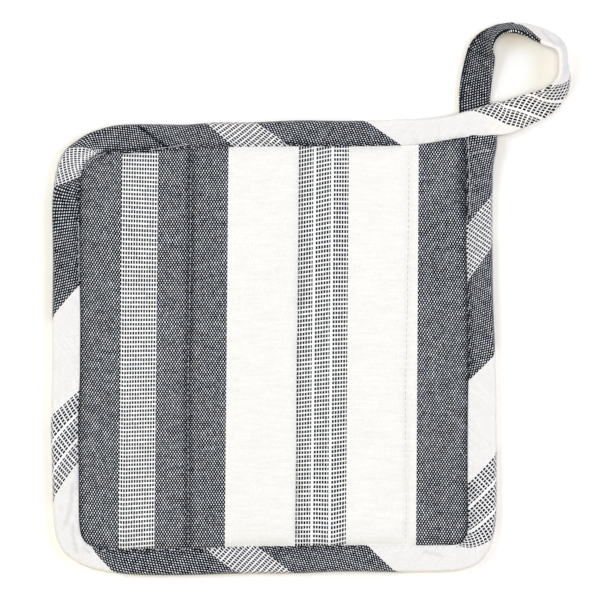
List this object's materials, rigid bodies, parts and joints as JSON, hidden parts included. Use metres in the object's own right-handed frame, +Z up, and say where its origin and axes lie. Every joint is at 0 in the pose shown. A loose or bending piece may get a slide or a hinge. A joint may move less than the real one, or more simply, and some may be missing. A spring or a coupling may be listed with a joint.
{
  "type": "quilted pot holder",
  "caption": "Square quilted cotton pot holder with striped cloth, a bias-cut binding round its edge and a hanging loop at one corner.",
  "frame": {"origin": "middle of the pad's flat back, which is the surface that it lies on", "axes": "+X to the pad's right and +Y to its top edge as it is seen from above, +Z up out of its front; the loop is at the +X +Y corner"},
  "size_m": [0.2346, 0.2497, 0.0131],
  "materials": {
    "striped_cotton": "plain-woven cotton in white with dark grey and dashed stripes",
    "binding_cotton": "the same striped cotton, cut on the bias and folded",
    "loop_cotton": "the same bias strip, folded flat and stitched"
  },
  "bodies": {
    "root": {"pad": "striped_cotton", "edge_binding": "binding_cotton", "hanging_loop": "loop_cotton"}
  },
  "joints": []
}
